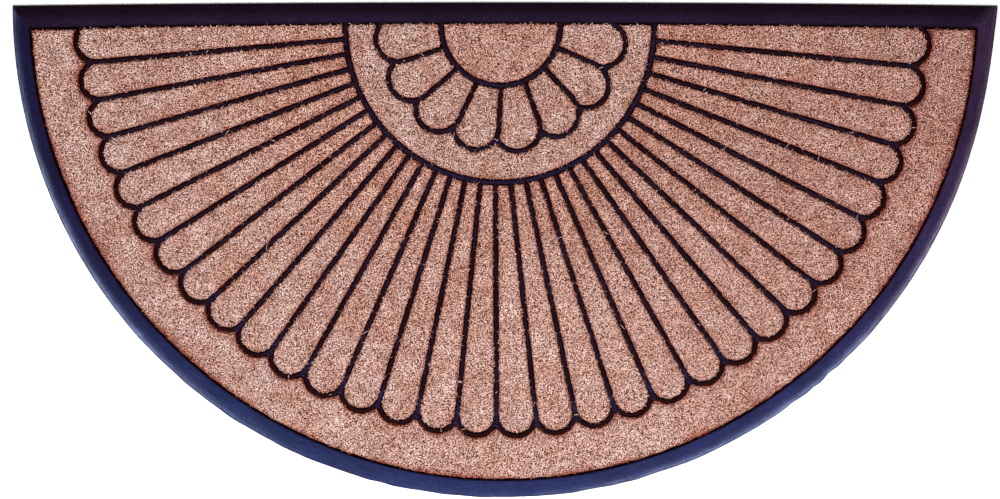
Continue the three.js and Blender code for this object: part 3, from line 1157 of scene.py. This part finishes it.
add_petals(rosette_petals, rosette_petals[1:] + [None], rosette_names, rows=26, reach=0.12)
disc_middle = np.array([[disc_ring["centre"][0], straight_height(0.0, 1.0) - disc_spine]])
disc_share = disc_inset + (1 - 2 * disc_inset) * crowded(disc_rows)
disc_solid = spined_pad(disc_middle, np.array([1.0, 0.0]), disc_share, disc_reach, disc_depth)
add_coir("coir_half_disc", "half_disc", disc_solid, disc_depth)


# The two long strips of coir: the ring between the fan's foot and the rosette, and the band
# between the scallops and the rim. Each is one pad that runs from end to end of the straight side.
ring_strip = {"rows": 260, "spine": 0.172, "inner": 0.09, "outer": 0.2}
band_strip = {"rows": 720, "spine": 0.56, "inner": 0.48, "outer": 0.6}
fan_middle = 0.3
band_parts = 3
band_edge_shade = {
    # how far in the painted brown shade reaches, and its patches along the rim
    "bottom": 0.0027,
    "sides": 0.0040,
    "rim_least": 0.000675,
    "rim_patch": 0.0060,
    "patch_gain": 2.0,
    "patch_cut": 0.6,
    "grain": 0.03,
    "seed": 9,
    "edge_reach": 0.0004,
    # how far the tips stand out of the painted shade, and how much darker the tint is at an edge, as
    # more painted shade
    "tip_out_of_shade": 0.3,
    "dark": 1.7,
    "dark_reach": 0.0011,
}


def strip_point(centre, radius, share):
    """The point at a share of the way along what a circle has below the straight rim."""
    first, last = end_angles(
        lambda angle: radius,
        lambda x: straight_height(centre[0] + x, 1.0) - seam - rim_gap["most"] - centre[1],
    )
    return place_at(centre, radius, first + (last - first) * share)


def strip_pad(centre, strip, open_depth, depth_at):
    """A curved strip's pad: for each share of the way, the radii where the open depth (which leaves
    the straight rim out) falls to nothing inwards and outwards of the spine."""
    share = np.linspace(0, 1, strip["rows"])
    edges = [
        last_point(lambda radius: strip_point(centre, radius, share), strip["spine"], end, open_depth)
        for end in (strip["inner"], strip["outer"])
    ]
    return pad(*edges, depth_at)


def outside(points, petals, web_spots):
    """How far points lie outside a row of petals and the webs between them."""
    clear = np.full(points.shape[:-1], np.inf)
    for spot in web_spots:
        clear = np.minimum(clear, distance(points, spot) - web_radius - seam)
    for row in petals:
        clear = np.minimum(clear, -ridge_depth(points, row) - rib_edge)
    return clear


def ring_open_depth(points):
    """How deep points lie between the fan's foot and the rosette, the straight rim left out."""
    between = np.minimum(-beyond(points, fan_ring), beyond(points, disc_ring)) - ring_edge
    return np.minimum(between, outside(points, rosette_petals, rosette_web_places))


def ring_depth(points):
    """How deep points lie inside the ring's pad."""
    return np.minimum(ring_open_depth(points), coir_field(points))


def scallop_depth(points):
    """How far points lie outside the scallops and their webs, and -1 in the fan's middle."""
    inside_fan = distance(points, fan_ring["centre"]) < fan_middle
    return np.where(inside_fan, -1.0, outside(points, fan_petals, fan_web_places))


def band_open_depth(points):
    """How deep points lie between the scallops and the curved rim, the straight rim left out."""
    wall = -beyond(points, recess) - seam - gap_by_rim(points)
    return np.minimum(wall, scallop_depth(points))


def band_depth(points):
    """How deep points lie inside the band's pad."""
    return np.minimum(scallop_depth(points), coir_field(points))


def band_traits(points, tint, along, edge_reach):
    """The band's traits. Its edge share, the painted rust-brown shade, falls off from its own edge over
    the given reach, and is more beside the scallops, most of all at the mat's left and right, and in
    patches along the rim. Its tint is darker at every edge, as more painted shade."""
    plan = points[:, :2]
    depth = band_depth(plan)
    sideways = (plan[:, 0] / distance(plan, 0.0)) ** 2
    reach = band_edge_shade["bottom"] + (band_edge_shade["sides"] - band_edge_shade["bottom"]) * sideways
    by_scallops = edge_share(scallop_depth(plan), reach)
    noise = soft_noise(plan, band_edge_shade)
    patches = np.clip(band_edge_shade["patch_gain"] * noise - band_edge_shade["patch_cut"], 0, 1)
    reach = band_edge_shade["rim_patch"] * patches + band_edge_shade["rim_least"]
    near = np.maximum(by_scallops, edge_share(coir_field(plan), reach))
    near *= 1 - band_edge_shade["tip_out_of_shade"] * along
    tint = tint - band_edge_shade["dark"] * edge_share(depth, band_edge_shade["dark_reach"])
    return point_traits(tint, along, np.maximum(near, edge_share(depth, edge_reach)))


ring_solid = strip_pad(rosette["centre"], ring_strip, ring_open_depth, ring_depth)
add_coir("coir_ring_strip", "coir_ring", ring_solid, ring_depth)

points, faces, places, _ = strip_pad(np.zeros(2), band_strip, band_open_depth, band_depth)
traits = band_traits(points, pad_tint, np.zeros(len(points)), pad_shadow)
add_mesh("coir_band_pad", points, faces, places, traits, coir, "coir", "coir_band")
# The band's fibres are pieces of their own, from the right to the left.
band_roots = rooted(band_depth)
order = np.argsort(np.degrees(np.arctan2(-band_roots[:, 1], band_roots[:, 0])))
for part, chosen in enumerate(np.array_split(order, band_parts)):
    points, faces, tint, along, _ = fibres(band_roots[chosen], band_depth)
    places = fibre_places(len(chosen), 0.0, 1.0)[faces]
    traits = band_traits(points, tint, along, band_edge_shade["edge_reach"])
    name = f"coir_band_fibres_{part + 1}"
    add_mesh(name, points, [faces], [places], traits, coir, "coir", smooth=False)


# The loose fibres. A few pale hairs of coir were left unbonded when the pile was cut, and lie
# curled across the ribs and the pads, most of them short.
short_hairs = {"count": 34, "length": (0.003, 0.008), "bend": 60.0}
long_hairs = {"count": 4, "length": (0.018, 0.030), "bend": 130.0}
hair_radius = 0.00017
hair_rise = 0.001
hair_steps = 8
hair_sides = 4
hair_tint = 4.0
hair_slim = 0.6
hair_rng = np.random.default_rng(31)


def loose_hairs(name, roots, kind):
    """Thin tubes that curl over the pads, each round a random one of the roots: a hair's heading
    turns evenly by its bend, it rises by hair_rise * (1 - (2 t - 1)^2) at the share t of its
    length, and it is slimmer at its ends."""
    count = kind["count"]
    spots = roots[hair_rng.integers(0, len(roots), count)]
    share = np.linspace(0, 1, hair_steps)
    length = hair_rng.uniform(*kind["length"], count)
    first = hair_rng.uniform(0, 360, count)
    bend = hair_rng.normal(0, kind["bend"], count)
    heading = direction(first[:, None] + bend[:, None] * share)
    run = np.cumsum(heading * length[:, None, None] / (hair_steps - 1), axis=1)
    plan = spots[:, None] + run - run.mean(axis=1, keepdims=True)
    middle = raised(plan, pad_top + hair_rise * (1 - (2 * share - 1) ** 2))
    turn = 2 * np.pi * np.arange(hair_sides)[:, None] / hair_sides
    left = np.pad(left_of(heading), ((0, 0), (0, 0), (0, 1)))[:, :, None]
    around = np.cos(turn) * left - np.sin(turn) * np.array([0, 0, 1.0])
    slim = hair_radius * (1 - hair_slim * np.abs(2 * share - 1) ** 3)
    forms = closed_forms(middle[:, :, None] + slim[:, None, None] * around)
    traits = point_traits(hair_tint, 1.0, np.zeros(len(forms[0])))
    add_mesh(name, *forms, traits, coir, "coir")


rib_places = np.concatenate([path[2:-2] for path in line_paths + scallop_paths + rosette_paths])
loose_hairs("loose_fibres_short", rib_places, short_hairs)
pad_places = all_roots[coir_field(all_roots) > long_hairs["length"][1] / 2]
loose_hairs("loose_fibres_long", pad_places, long_hairs)


# The mat's width and length in plan. It is one sheet, cut half round and laid flat: its coir and its
# ribs are bonded to the rubber backing.
width, length = edge_outline.max(axis=0) - edge_outline.min(axis=0)


# The studio: a plain white floor, a dim white surround, and three large soft lamps: two nearly
# alike beyond the mat's curve, left and right, and a weak one beyond its straight side.
floor_half = 6.0
lamp_width = 1.6
lamps = [
    # name, place, watts
    ("left_lamp", (-1.6, -2.3, 2.4), 160.0),
    ("right_lamp", (1.6, -2.3, 2.4), 140.0),
    ("far_lamp", (0.0, 2.4, 2.8), 25.0),
]
world_strength = 0.35

corners = np.array([(-1, -1, 0), (1, -1, 0), (1, 1, 0), (-1, 1, 0)]) * floor_half
floor_mesh = bpy.data.meshes.new("floor")
floor_mesh.from_pydata(corners.tolist(), [], [(0, 1, 2, 3)])
floor = bpy.data.objects.new("floor", floor_mesh)
bpy.context.scene.collection.objects.link(floor)
floor_material, _, floor_shader = nodes_of("white_floor")
floor_shader.inputs["Base Color"].default_value = (0.93, 0.93, 0.93, 1)
floor_shader.inputs["Roughness"].default_value = 0.9
floor_shader.inputs["Specular IOR Level"].default_value = 0.0
floor_mesh.materials.append(floor_material)

for name, place, watts in lamps:
    light = bpy.data.lights.new(name, "AREA")
    light.size = lamp_width
    light.energy = watts
    lamp = bpy.data.objects.new(name, light)
    lamp.location = place
    lamp.rotation_euler = (-Vector(place)).to_track_quat("-Z", "Y").to_euler()
    lamp.visible_camera = False
    bpy.context.scene.collection.objects.link(lamp)

world = bpy.data.worlds.new("surround")
world.use_nodes = True
world.node_tree.nodes["Background"].inputs["Color"].default_value = (1, 1, 1, 1)
world.node_tree.nodes["Background"].inputs["Strength"].default_value = world_strength
bpy.context.scene.world = world
bpy.context.scene.view_settings.view_transform = "Standard"
